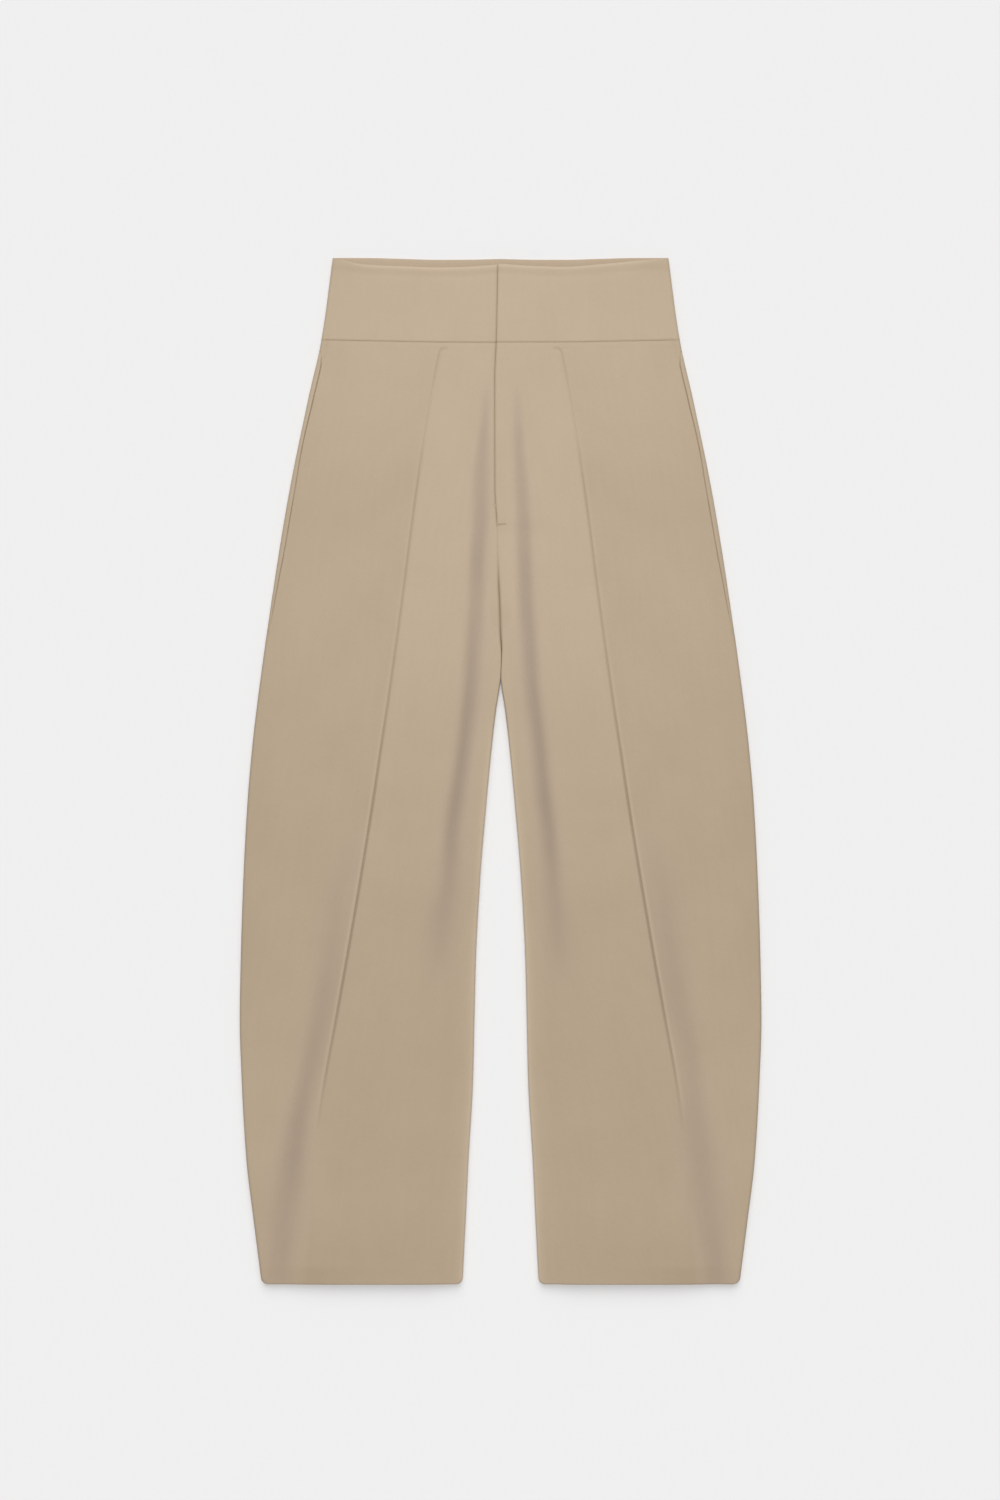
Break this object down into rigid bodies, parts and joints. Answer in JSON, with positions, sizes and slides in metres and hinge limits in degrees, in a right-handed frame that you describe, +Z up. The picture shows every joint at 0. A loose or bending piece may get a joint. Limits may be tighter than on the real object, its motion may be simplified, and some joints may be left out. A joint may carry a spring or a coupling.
{
  "type": "barrel leg trousers",
  "caption": "High-waisted barrel leg trousers with a deep waistband, fly front, long curved darts and side pockets, laid flat on their back.",
  "frame": {"origin": "On the surface that the trousers lie on, under the centre of their bounding box.", "axes": "+X to the wearer's left, which is the right of the picture; +Y from the hems to the waist; +Z up from the surface, out of the front."},
  "size_m": [0.538, 1.0575, 0.0153],
  "materials": {
    "suiting": "matte fine twill suiting, warm beige",
    "pocketing": "thin plain-weave pocketing",
    "zip_tape": "woven tape",
    "hook_metal": "satin nickel"
  },
  "bodies": {
    "root": {"front_left": "suiting", "front_right": "suiting", "back_left": "suiting", "back_right": "suiting", "waistband_front_left": "suiting", "waistband_front_right": "suiting", "waistband_back": "suiting", "fly_underlap": "suiting", "pocket_facing_left": "suiting", "pocket_facing_right": "suiting", "pocket_bag_left": "pocketing", "pocket_bag_right": "pocketing", "fly_zip": "zip_tape", "waist_hook": "hook_metal", "waist_bar": "hook_metal"}
  },
  "joints": []
}
